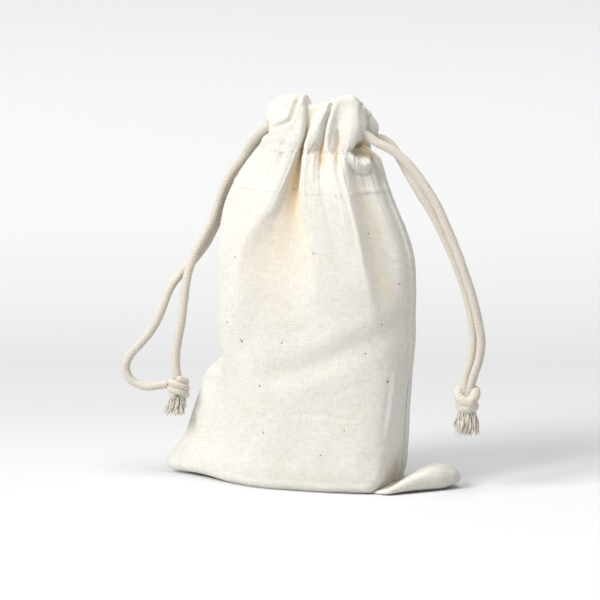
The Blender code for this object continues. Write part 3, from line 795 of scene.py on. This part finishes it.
def tuft(name, look, top, radius, length, lean, count, seed):
    """The frayed ends of the cord under its knot: many thin wavy yarns that fan out."""
    draw = random.Random(seed)
    lines = []
    for _ in range(count):
        turn = draw.uniform(0, 2 * math.pi)
        start = 0.62 * radius * draw.uniform(0.05, 1.0) ** 0.6
        spread = start + draw.uniform(0.0, 1.0) * (radius - start)
        long = length * draw.uniform(0.6, 1.0)
        twist = draw.uniform(-0.5, 0.5)
        phase = draw.uniform(0, 6)
        wave = draw.uniform(0.2, 0.75)
        points = []
        for step in range(13):
            t = step / 12
            reach = start + (spread - start) * (0.3 * t + 0.7 * t * t)
            a = turn + twist * t
            sway = wave * math.sin(7 * t + phase) * t
            points.append((
                top[0] + reach * math.cos(a) + sway + lean * t * t,
                top[1] + reach * math.sin(a) - 0.6 * sway,
                top[2] - long * t + 0.3 * math.cos(5 * t + phase) * t,
            ))
        lines.append(np.array(points))
    return plain_tubes(name, lines, 0.25, look)


def channel_turn(y, end_x, far_x, z):
    """A cord's way round inside the far end of the casing, from the front channel to the back one."""
    points = [(end_x, -y, z)]
    for k in range(13):
        turn = math.pi * (k / 12 - 0.5)
        points.append((end_x + (far_x - end_x) * (0.35 + 0.65 * math.cos(turn)), y * math.sin(turn), z))
    points.append((end_x, y, z))
    return points


def add_leg(side, label, route, look):
    """A free leg of a cord, baked into world space, with its CAD node hidden."""
    points = centreline(route)
    leg = braided_cord(f"{side}_{label}_leg", points, look)
    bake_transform(leg)
    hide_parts(f"{side}_cord_{label}_leg")


def add_cord(side, exit_place, routes, lengths, knot_facts, tuft_facts, far_end, look):
    """A whole drawcord: knot, frayed ends, two legs, two runs in the casing and the turn at its far end."""
    tail = f"{side}_cord_tail"
    x, z = exit_place
    run_end, turn_end = far_end
    knotted = knot(f"{side}_knot", look, **knot_facts)
    settle(knotted, f"{side}_cord_knot", tail)
    frayed = tuft(f"{side}_frayed_ends", look, **tuft_facts)
    settle(frayed, f"{side}_cord_tassel", tail)
    for label, y, route, length in zip(("front", "back"), (-CHANNEL_Y, CHANNEL_Y), routes, lengths):
        add_leg(side, label, route, look)
        run_route = [route[0], ((route[0][0] + run_end) / 2, y, z), (run_end, y, z)]
        run = braided_cord(f"{side}_{label}_run", centreline(run_route), look)
        settle(run, f"{side}_cord_{label}_run", f"{side}_cord")
    turn_route = channel_turn(CHANNEL_Y, run_end, turn_end, z)
    turned = braided_cord(f"{side}_far_turn", centreline(turn_route), look)
    settle(turned, f"{side}_cord_far_turn")


# ---- the cloth's shape

def outline_at(z):
    """Left edge, right edge and share of the half depth at heights."""
    rows = np.array(OUTLINE)
    found = spline(rows[:, 0], rows[:, 1:], np.ravel(z))
    return [found[:, k].reshape(np.shape(z)) for k in range(3)]


def box_section(z, shares, corner_power):
    """Points of the front of the pouch's section over its filling, at shares of the way across."""
    left, right, share = outline_at(z)
    depth = share * HALF_DEPTH
    middle = (left + right) / 2
    half = (right - left) / 2
    turn = np.linspace(0, math.pi, 361)
    c = np.cos(turn)
    square = SECTION_POWER + corner_power * (1 - ease(z, 8, 60))
    power = np.where(c > 0, SECTION_POWER, square)
    x = middle - half * signed_power(c, 2 / power)
    y = -depth * np.sin(turn) ** (2 / power)
    corner = np.array(UPRIGHT_CORNER)
    if z < corner[-1, 0]:
        tip = spline(corner[:, 0], corner[:, 1], [z])[0]
        ratio = min(0.999, half / (middle - tip))
        spread = math.acos((ratio ** (1 / (SECTION_POWER - 1))) ** (SECTION_POWER / 2))
        kept = turn > spread
        bow = np.linspace(0, 1, 60)[:, None]
        touch = np.array([x[kept][0], y[kept][0]])
        straight = np.array([tip, 0.0]) * (1 - bow) + touch * bow
        straight[:, 1] += 1.1 * np.sin(math.pi * bow[:, 0]) * ease(z, 2, 20)
        x = np.concatenate([straight[:-1, 0], x[kept]])
        y = np.concatenate([straight[:-1, 1], y[kept]])
    line = np.stack([x, y], axis=1)
    lengths = along(line)
    places = shares * lengths[-1]
    return np.stack([np.interp(places, lengths, line[:, k]) for k in (0, 1)], axis=1)


def fold_section(z, across):
    """Points of the front's gathered section at a height, at distances across the flat cloth."""
    left, right, _ = outline_at(z)
    knots = [0.0]
    points = [(left, 0.0)]
    for u, line in PANEL_FOLDS:
        knots.append(u)
        points.append(tuple(spline(FOLD_HEIGHTS, line, [z])[0]))
    knots.append(CLOTH_WIDTH)
    points.append((right, 0.0))
    return spline(knots, points, across)


def seam_bead(u, z):
    """How far the sewn edge stands out of a side above the bottom corners, at a distance from the seam."""
    bead = np.sin(math.pi * np.clip(u / 3.4, 0, 1)) ** 2
    return (1.1 * bead - 0.5 * bump(u - 4.6, 1.0)) * ease(z, 34, 54)


def panel_grid(side):
    """A panel as a front: its grid of points, its painted brown shade in the folds, and its cloth
    coordinates.
    """
    seed = PANEL_SEEDS[side]
    across = np.linspace(0, CLOTH_WIDTH, COLUMNS + 1)
    low = [0.0, 0.25, 0.6, 1.0, 1.5, 2.1, 2.7, 3.3]
    count = int((STITCH_Z - low[-1]) / ROW_STEP)
    heights = np.array(low + list(np.linspace(low[-1], STITCH_Z, count + 1)[1:]))
    grid = np.zeros((len(heights), len(across), 3))
    for k, z in enumerate(heights):
        flat = box_section(z, across / CLOTH_WIDTH, 1.9 if side == "front" else 0.0)
        folded = fold_section(max(z, FOLD_HEIGHTS[0]), across)
        share = ease(z, FOLDS_BELOW, FOLDS_FULL)
        grid[k, :, :2] = flat * (1 - share) + folded * share
        grid[k, :, 2] = z
    u, z = np.meshgrid(across, heights)
    uv = cloth_coordinates(grid)
    uv[..., 1] = z
    normal = grid_normals(grid)
    normal[:, :4] = normal[:, 4:5]
    normal[:, -4:] = normal[:, -5:-4]
    edge = ease(u, 0, 2.5) * ease(CLOTH_WIDTH - u, 0, 2.5)
    depth = cloth_detail(u, z, seed) + stitch_line(u, z) + hem_ridge(u, z)
    if side == "front":
        depth += ruff(u, z) - creases(grid, PANEL_CREASES)
    depth = edge * depth + seam_bead(u, z) + seam_bead(CLOTH_WIDTH - u, z)
    grid += normal * depth[..., None]
    lift = 0.9 * ease(-grid[..., 0], 36, 48) * (1 - 0.5 * ease(-grid[..., 0], 56, 61))
    grid[..., 2] += lift * np.clip(1 - z / 14, 0, 1) ** 2
    grid[..., 1] = np.minimum(grid[..., 1], -0.05)
    grid[:, (0, -1), 1] = 0.0
    # Painted shade in the folds, from their place on the cloth
    tone = fold_shade(u, z)
    # Painted shade low on the front's right, in the fold above the flat corner
    if side == "front":
        tone = tone + 0.35 * bump(u - 118.5, 4) * bump(z - 6, 7)
    return grid, tone, uv


def stitch_line(u, z):
    """The channel stitching's groove and the small puckers on both sides of it."""
    pucker = 0.5 + 0.5 * np.sin(2 * math.pi * u / 2.9 + 2.2 * noise(u, 0 * z, 9.0, 29))
    calm = (0.15 + 0.85 * ease(u, 42, 52)) * (1 - 0.6 * ease(u, 95, 101))
    calm *= 1 - 0.4 * bump(u - 78, 14)
    groove = (0.12 + 0.42 * pucker) * bump(z - STITCH_Z, 1.1)
    return calm * (0.34 * (pucker - 0.5) * bump(np.abs(z - STITCH_Z) - 2.5, 2.6) - groove)


def cloth_detail(u, z, seed):
    """Gather lines under the casing, and the cloth's own unevenness."""
    gather = ease(z, 96, STITCH_Z) ** 1.5
    gather = gather * (1 - 0.6 * bump(u - 31, 12)) * (1 - 0.5 * ease(u, 96, 102))
    lines = 0.0
    for k, (pitch, size) in enumerate(((2.7, 0.07), (4.1, 0.13), (6.3, 0.22))):
        drift = 1.6 * noise(u, z * 0.7, 30.0, seed + k)
        lines = lines + size * np.sin(2 * math.pi * u / pitch + drift * 2 + k * 1.7)
    depth = lines * gather
    depth += 0.42 * noise(u, z, 19.0, seed + 3) * (1 - 0.5 * gather)
    depth += 0.16 * noise(u, z * 0.6, 6.5, seed + 4)
    depth += 0.05 * noise(u, z, 2.2, seed + 5)
    return depth


def hem_ridge(u, z):
    """The doubled edge of the turned-down cloth, which shows through on the side."""
    size = 0.04 + 0.32 * ease(u, 100, 106)
    doubled = ease(z, HEM_Z - 1.0, HEM_Z) * ease(-z, -STITCH_Z, -HEM_Z)
    return size * (bump(z - HEM_Z, 0.8) + 0.5 * doubled)


def ruff(u, z):
    """The puffed, finely gathered roll under the right cord's way out, lowest in its middle."""
    place = ease(u, 97, 103) * (1 - 0.8 * ease(u, 114, 122))
    height = z - 0.04 * (u - 110) ** 2
    body = 2.6 * bump(height - 134.4, 2.8)
    fine = 0.22 * np.sin(2 * math.pi * u / 3.1 + 5 * noise(u, z, 5.0, 5)) * bump(height - 136.0, 3.0)
    shade = 0.9 * bump(height - 130.6, 1.0)
    return place * (body + fine - shade)


def open_ends(grid):
    """Hollows the gathered top where the cords come out, and says how deep each point lies in a hollow."""
    x, y, z = grid[..., 0], grid[..., 1], grid[..., 2]
    level = ease(-np.abs(y), -10.5, -7.5)
    right = bump(z - 141.0, 3.4) * ease(x, 18.0, 22.0) * level
    left = bump(z - 147.0, 3.0) * ease(-x, 15.0, 18.0) * level
    moved = grid.copy()
    moved[..., 0] += 3.6 * left - 5.0 * right
    moved[..., 1] *= 1 - 0.35 * np.maximum(left, right)
    return moved, np.maximum(left, right)


def creases(grid, table):
    """How far the surface sinks at the creases, rolling over a little on both sides of each."""
    depth = np.zeros(grid.shape[:2])
    for points, width, size in table:
        far, part = distance_to_line(grid[..., 0], grid[..., 2], points)
        fade = np.sin(math.pi * np.clip(0.12 + 0.8 * part, 0, 1)) ** 0.6
        depth += size * fade * (bump(far, width) - 0.35 * bump(far - 1.8 * width, width))
    return depth


def fold_shade(u, z):
    """How much painted shade, a warm brown, the cloth takes on in its deep folds and recesses, by place on
    it.
    """
    valley = bump(u - 52.0, 7.5) * ease(z, 100, 132) * (1 - 0.8 * ease(z, 140, 150))
    small = 0.55 * bump(u - 77, 4.0) * bump(z - 139, 7.0) + 0.35 * bump(u - 90, 3.0) * bump(z - 139, 7.0)
    side = 0.24 * bump(u - 103.5, 6.0) * ease(z, 60, 90) * (1 - ease(z, 124, 131))
    belly = 0.20 * bump(u - 48, 12.0) * ease(z, 62, 96) * (1 - ease(z, 104, 124))
    return np.clip(0.8 * valley + small + side + belly, 0, 0.85)


def underside(grid):
    """The half of the base that belongs to a panel, from its front edge to the bottom seam."""
    edge = grid[0]
    outward = np.sign(edge[len(edge) // 2, 1])
    rows = []
    for k in range(10, 0, -1):
        part = k / 10
        row = edge.copy()
        row[:, 1] = outward * np.maximum(np.abs(edge[:, 1]) * (1 - part), 0.05)
        row[:, 2] = edge[:, 2] + 0.5 * math.sin(math.pi * part) * (edge[:, 2] < 0.6)
        rows.append(row)
    return np.stack(rows)


def lip(grid):
    """The panel's upper edge, turned in under the casing until the cinched neck is closed."""
    edge = grid[-1]
    rise = edge - grid[-2]
    rows = []
    for k, inset in ((0.6, 0.992), (1.4, 0.975)):
        row = edge + rise * k
        row[:, 1] *= inset
        rows.append(row)
    start = rows[-1]
    for k in range(1, 9):
        t = k / 8
        pull = math.sin(math.pi / 2 * t)
        row = start.copy()
        row[:, 0] *= 1 - 0.08 * pull
        row[:, 1] *= 1 - 0.94 * pull
        row[:, 2] += 0.3 * math.sin(math.pi * t) - 3.0 * t * t
        rows.append(row)
    return np.stack(rows)


def corner_grid():
    """The flat corner's front half, over its top, round its front edge and under it, and its painted shade.
    """
    table = np.array(FLAT_CORNER)
    xs = np.concatenate([np.linspace(24.0, 59.0, 70), np.linspace(59.2, 61.9, 16)])
    rows = spline(table[:, 0], table[:, 1:], xs)
    turn = np.linspace(math.pi / 2, 3 * math.pi / 2, 49)
    lift = signed_power(np.sin(turn), 0.75)
    grid = np.zeros((len(turn), len(xs), 3))
    for k, (x, (front, back, low, high)) in enumerate(zip(xs, rows)):
        grid[:, k, 0] = x
        grid[:, k, 1] = (front + back) / 2 + (back - front) / 2 * np.cos(turn)
        grid[:, k, 2] = low + (high - low) / 2 * (1 + lift)
    u, v = np.meshgrid(xs, np.arange(len(turn), dtype=float))
    above = ease(grid[..., 2], 0.8, 2.5)
    grid[..., 2] += above * (0.35 * noise(u, v, 9.0, 71) + 0.12 * noise(u, v, 3.0, 72))
    # Painted shade on the corner's top where it tucks under the front
    tone = 0.15 * bump(u - 37.5, 5.0) * (v < 22)
    return grid, tone


def fold_over(top, inside):
    """Rows that lead from the casing's top row over its folded edge and down to the channel inside."""
    inner_y = (-2.5 + 0.22 * (top[:, 1] + 7.0)) * inside + top[:, 1] * (1 - inside)
    rise = 0.85 * np.abs(top[:, 1] - inner_y) ** 0.5
    rows = []
    for k in range(1, 10):
        turn = math.pi * k / 9
        row = top.copy()
        row[:, 1] = (top[:, 1] + inner_y) / 2 + (top[:, 1] - inner_y) / 2 * math.cos(turn)
        row[:, 2] = top[:, 2] + rise * math.sin(turn)
        rows.append(row)
    edge = rows[-1]
    for k in range(1, 13):
        row = edge.copy()
        row[:, 2] -= (top[:, 2] - STITCH_Z + 2.0) * k / 12
        row[:, 1] = np.minimum(row[:, 1] + 0.4 * math.sin(math.pi * k / 12), -1.2)
        rows.append(row)
    return np.stack(rows)


def casing_grid(side):
    """The folded top of a panel, from just under its outer face to the channel inside, and its painted
    shade.
    """
    seed = CASING_SEEDS[side]
    across = np.linspace(0, CLOTH_WIDTH, COLUMNS + 1)
    knots = [u for u, _, _ in CASING_FOLDS]
    part = np.linspace(0, 1, CASING_ROWS)
    lines = []
    for _, top, line in CASING_FOLDS:
        z = STITCH_Z + (top - STITCH_Z) * part
        lines.append(np.column_stack([spline((*CASING_HEIGHTS, top), line, z), z]))
    net = np.stack(lines)
    outer = np.stack([spline(knots, net[:, k], across) for k in range(CASING_ROWS)])
    u = np.broadcast_to(across, outer.shape[:2])
    z = outer[..., 2]
    inside = ease(u, 2, 8) * ease(CLOTH_WIDTH - u, 2, 8)
    risen = ease(z, STITCH_Z, STITCH_Z + 4)
    depth = stitch_line(u, z) + 0.4 * bump(z - 148.0, 5.0) * risen
    depth += cloth_detail(u, STITCH_Z + 0 * z, PANEL_SEEDS[side]) * (1 - risen)
    depth += (0.26 * noise(u, z, 5.5, seed + 1) + 0.22 * noise(u, z * 0.5, 3.1, seed + 2)
              + 0.06 * noise(u, z, 1.5, seed + 3)) * risen
    if side == "front":
        depth -= creases(outer, CASING_CREASES)
    hook, _ = distance_to_line(outer[..., 0], z, CASING_CREASES[0][0])
    edge = ease(u, 0, 2.5) * ease(CLOTH_WIDTH - u, 0, 2.5)
    outer = outer + grid_normals(outer) * (depth * edge)[..., None]
    # Painted shade in the folds, and on the front along the hook crease
    tone = fold_shade(u, z) + (0.22 * bump(hook, 1.0) if side == "front" else 0.0)
    folded = fold_over(outer[-1], inside[-1])
    tucked = [outer[0] - k * (outer[1] - outer[0]) for k in (2.4, 1.2)]
    for k, row in enumerate(tucked):
        row[:, 1] *= 0.982 + 0.010 * k
    grid = np.concatenate([np.stack(tucked), outer, folded])
    # Painted shade growing down the inside of the fold
    fade = np.linspace(1, 0.6, len(folded))[:, None]
    return grid, np.concatenate([tone[:2], tone, tone[-1:] * fade + 0.25 * (1 - fade)])


def turn_to_back(grid, centre_sum):
    """The front's shape as the back's: half a turn about the vertical, with the seams kept in place."""
    turned = grid.copy()
    turned[..., 0] = centre_sum - grid[..., 0]
    turned[..., 1] = -0.96 * grid[..., 1]
    return turned


def add_panel(side, look):
    """A cloth panel with its half of the base, a flat corner and its upper edge. Also gives its surface."""
    body, tone, uv = panel_grid(side)
    corner, corner_shade = corner_grid()
    if side == "back":
        left, right, _ = outline_at(body[..., 2])
        body = back_shape(body, left + right)
        table = np.array(FLAT_CORNER)
        middle = np.interp(corner[..., 0], table[:, 0], table[:, 1:3].mean(axis=1))
        corner[..., 1] = 2 * middle - corner[..., 1]
        corner = corner[::-1]
        corner_shade = corner_shade[::-1]
    body, hollow = open_ends(body)
    # Painted shade in the hollows where the cords come out
    tone = np.clip(tone + 0.6 * hollow, 0, 0.9)
    base = underside(body)
    upper = lip(body)
    shade = np.concatenate([np.zeros(base.shape[:2]), tone, np.repeat(tone[-1:], len(upper), axis=0)])
    below = uv[:1] - np.arange(len(base), 0, -1)[:, None, None] * np.array([0.0, 2.0])
    above = uv[-1:] + np.arange(1, len(upper) + 1)[:, None, None] * np.array([0.0, 0.7])
    whole = np.concatenate([base, body, upper])
    places = [np.concatenate([below, uv, above]), cloth_coordinates(corner)]
    made = grid_mesh(f"{side}_panel_cloth", [whole, corner], look, places, [shade, corner_shade])
    thicken(made)
    settle(made, f"{side}_panel")
    return made, body


def back_shape(grid, centre_sum):
    """The back panel: the front's folds turned round where gathered, and mirrored over the filling."""
    turned = turn_to_back(grid, centre_sum)[:, ::-1]
    mirrored = grid.copy()
    mirrored[..., 1] = -grid[..., 1]
    share = ease(grid[..., 2], 56, 92)[..., None]
    return mirrored * (1 - share) + turned * share


def thicken(made):
    """Gives a sheet of cloth its thickness, on its inner side."""
    step = made.modifiers.new("cloth", "SOLIDIFY")
    step.thickness = CLOTH_THICK * MM
    step.offset = -1.0


def add_casing(side, look):
    """The folded and gathered top of a panel. Also gives its surface."""
    grid, shade = casing_grid(side)
    if side == "back":
        grid = turn_to_back(grid, 5.4)[:, ::-1]
        grid[..., 2] -= BACK_DROP * ease(grid[..., 2], 148, 160)
        shade = shade[:, ::-1]
    grid, hollow = open_ends(grid)
    # Painted shade in the hollows where the cords come out
    shade = np.clip(shade + 0.5 * hollow, 0, 0.9)
    made = grid_mesh(f"{side}_casing_cloth", [grid], look, None, [shade])
    thicken(made)
    settle(made, f"{side}_casing")
    return made, grid


# ---- small pieces on the cloth

def stitches(row_name, surface, height, radius, look):
    """A row of machine stitches that follows the cloth at a height."""
    row = int(np.argmin(np.abs(surface[:, COLUMNS // 2, 2] - height)))
    points = surface[row]
    normal = grid_normals(surface)[row]
    outward = normal * np.sign((normal[:, 1] * points[:, 1]).sum())
    raised = points + 0.22 * outward
    lengths = along(points)
    lines = []
    place = STITCH_MARGIN
    while place < lengths[-1] - STITCH_MARGIN:
        spots = np.linspace(place, place + STITCH_LENGTH, 5)
        line = np.stack([np.interp(spots, lengths, raised[:, k]) for k in range(3)], axis=1)
        for end in (0, -1):
            line[end] -= 0.35 * np.array([np.interp(spots[end], lengths, outward[:, k]) for k in range(3)])
        lines.append(line)
        place += STITCH_PITCH
    made = plain_tubes(f"{row_name}_stitches", lines, radius, look, 8)
    settle(made, f"{row_name}_stitching")
    return made


def fleck_grid(centre, normal, length, tilt):
    """A flat seed husk caught in the weave."""
    level = np.cross((0.0, 0.0, 1.0), normal)
    level /= np.linalg.norm(level)
    up = np.cross(normal, level)
    a = math.radians(tilt)
    long = math.cos(a) * level + math.sin(a) * up
    wide = np.cross(normal, long)
    t = np.linspace(0, math.pi, 7)[:, None]
    turn = np.linspace(0, 2 * math.pi, 11)
    ends = -0.5 * length * np.cos(t) + 0 * turn
    edges = 0.26 * np.sin(t) * np.cos(turn)
    faces = 0.09 * np.sin(t) * np.sin(turn)
    return centre + np.stack([ends, edges, faces], axis=-1) @ np.array([long, wide, normal])


def add_flecks(side, surface, look):
    """Seed flecks on a panel: where the table has them on the front, and scattered on the back."""
    normal = grid_normals(surface)
    facing = np.sign((normal[..., 1] * surface[..., 1]).sum())
    places = FLECKS
    if side == "back":
        draw = random.Random(5)
        limits = ((-34, 38), (8, 118), (0.5, 1.3), (-80, 80))
        places = [[draw.uniform(*pair) for pair in limits] for _ in range(13)]
    grids = []
    for x, z, length, tilt in places:
        far = np.hypot(surface[..., 0] - x, surface[..., 2] - z)
        row, column = np.unravel_index(np.argmin(far), far.shape)
        out = normal[row, column] * facing
        grids.append(fleck_grid(surface[row, column] + 0.05 * out, out, 1.25 * length, tilt))
    made = grid_mesh(f"{side}_seed_flecks", grids, look)
    settle(made)
    return made


def add_loose_threads(surface, look):
    """Frayed thread ends along the top of the casing."""
    draw = random.Random(9)
    lines = []
    spots = [(-14, 3), (-9, 3), (-4, 6), (-1, 5), (7, 2), (15, 3), (20, 5), (22, 3)]
    top = surface[CASING_ROWS + 1]
    for x, count in spots:
        column = int(np.argmin(np.abs(top[:, 0] - x)))
        for _ in range(count):
            shift = [draw.uniform(*pair) for pair in ((-1.2, 1.2), (0.5, 2.5), (0.6, 1.2))]
            base = top[column] + np.array(shift)
            lean = np.array([draw.uniform(*pair) for pair in ((-1.6, 1.6), (-1.2, 1.2), (0.2, 1.4))])
            curl = draw.uniform(-0.8, 0.8)
            t = np.linspace(0, 1, 7)[:, None]
            lines.append(base + lean * t + np.array([curl, 0, -0.6]) * t * t)
    settle(plain_tubes("loose_threads", lines, 0.09, look, 5))


def add_filling(look):
    """Dried herbs: the CAD block's place, with a lumpy surface."""
    low, high = (np.array(v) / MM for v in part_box("herb_filling"))
    centre = (low + high) / 2
    half = (high - low) / 2
    turn = np.linspace(0, 2 * math.pi, 161)
    rise = np.linspace(-math.pi / 2, math.pi / 2, 90)[:, None]
    flat = signed_power(np.cos(rise), 0.35)
    x = flat * signed_power(np.cos(turn), 0.72)
    y = flat * signed_power(np.sin(turn), 0.72)
    z = signed_power(np.sin(rise), 0.45) + 0 * turn
    grid = centre + np.stack([x, y, z], axis=-1) * (half - FILL_MARGIN)
    angle = np.broadcast_to(np.minimum(turn, 2 * math.pi - turn) * 30, x.shape)
    lumps = 0.55 * noise(angle, grid[..., 2], 2.6, 81)
    lumps += 0.3 * noise(angle, grid[..., 2], 1.2, 82)
    away = grid - centre
    grid += lumps[..., None] * away / np.linalg.norm(away, axis=2, keepdims=True)
    made = grid_mesh("herb_fill", [grid], look)
    weld(made)
    settle(made, "herb_filling")


def add_inner_seam(node, look, thread):
    """A seam allowance inside the pouch: a strip of doubled cloth with overlock loops round its edge."""
    low, high = (np.array(v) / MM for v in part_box(node))
    rows = []
    if node == "bottom_seam":
        for x in np.linspace(low[0], high[0], 60):
            far = SEAM_HALF + 0.2 * math.sin(0.8 * x)
            a = low[2]
            b = high[2]
            ring = [(-SEAM_HALF, a), (-SEAM_HALF, b), (far, b), (far, a), (-SEAM_HALF, a)]
            rows.append([(x, y, z) for y, z in ring])
    else:
        edge, inward = (0, 1) if node.startswith("left") else (1, -1)
        for z in np.linspace(low[2], high[2], 90):
            near = outline_at(z)[edge] + 1.5 * inward
            deep = near + 0.5 * inward
            far = SEAM_HALF + 0.25 * math.sin(0.9 * z)
            ring = [(near, -SEAM_HALF), (near, far), (deep, far), (deep, -SEAM_HALF), (near, -SEAM_HALF)]
            rows.append([(x, y, z) for x, y in ring])
    grid = np.array(rows)
    settle(grid_mesh(f"{node}_allowance", [grid], look), node)
    lines = []
    for corners in grid[2:-2:2, :4]:
        middle = corners.mean(axis=0)
        lines.append(middle + (corners - middle) * 1.03 + np.array([0.0, 0.0, 0.05]))
    settle(plain_tubes(f"{node}_overlock", lines, 0.1, thread, 5))


# ---- the whole

def build():
    """Every piece, the sweep, the lights and the camera."""
    add_camera()
    cord = cotton_cord()
    add_cord(
        "left",
        exit_place=LEFT_EXIT,
        routes=(LEFT_FRONT_LEG, LEFT_BACK_LEG),
        lengths=(0.1345, 0.1610),
        knot_facts=dict(centre=(-57.2, -4.2, 36.9), strands=wound_knot(), radius=1.5, size=0.92),
        tuft_facts=dict(top=(-57.6, -4.2, 33.6), radius=5.2, length=8.4, lean=-1.6, count=150, seed=3),
        far_end=(16.0, 19.0),
        look=cord,
    )
    add_cord(
        "right",
        exit_place=RIGHT_EXIT,
        routes=(RIGHT_FRONT_LEG, RIGHT_BACK_LEG),
        lengths=(0.1330, 0.1290),
        knot_facts=dict(centre=(66.4, 0.0, 39.6), strands=LOOP_KNOT, radius=2.05, size=0.84),
        tuft_facts=dict(top=(66.4, 0.0, 35.8), radius=5.6, length=12.8, lean=-0.6, count=210, seed=8),
        far_end=(-11.0, -14.0),
        look=cord,
    )
    cloth = cotton_cloth()
    thread = thread_material()
    seed = seed_material()
    for side in ("front", "back"):
        panel, body = add_panel(side, cloth)
        casing, folded = add_casing(side, cloth)
        channel = stitches(f"{side}_channel", body, STITCH_Z, 0.17, thread)
        hem = stitches(f"{side}_hem", body, HEM_Z - 0.4, 0.11, thread)
        flecks = add_flecks(side, body, seed)
        if side == "front":
            add_loose_threads(folded, cord)
    add_filling(herb_material())
    for node in ("left_side_seam", "right_side_seam", "bottom_seam"):
        add_inner_seam(node, cloth, thread)
    add_stage()
    add_lights()


build()
